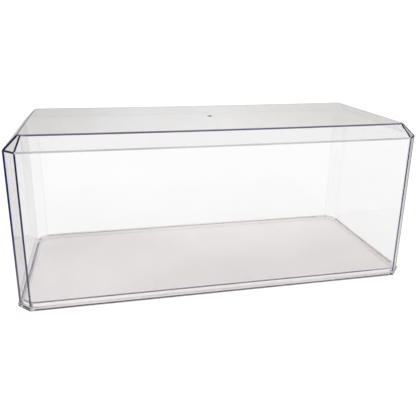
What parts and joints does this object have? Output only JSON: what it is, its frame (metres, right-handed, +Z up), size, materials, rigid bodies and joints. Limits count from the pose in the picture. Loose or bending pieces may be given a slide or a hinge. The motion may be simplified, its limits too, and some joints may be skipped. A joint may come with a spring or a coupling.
{
  "type": "display case",
  "caption": "Clear moulded display case for a scale model: a tall five-sided cover with bevelled top edges and chamfered corners lifts off a low tray base with a raised platform.",
  "frame": {"origin": "centre of the footprint, on the surface that the case stands on", "axes": "+X along the case's length, +Y towards its back long side, +Z up"},
  "size_m": [0.2512, 0.1086, 0.1032],
  "materials": {
    "cover_clear": "clear, polished",
    "base_clear": "clear, polished"
  },
  "bodies": {
    "base": {"base": "base_clear"},
    "cover": {"cover": "cover_clear"}
  },
  "joints": [
    {"name": "cover_lift", "type": "slide", "parent": "base", "child": "cover", "axis": [0, 0, 1], "range_m": [0, 0.12]}
  ]
}
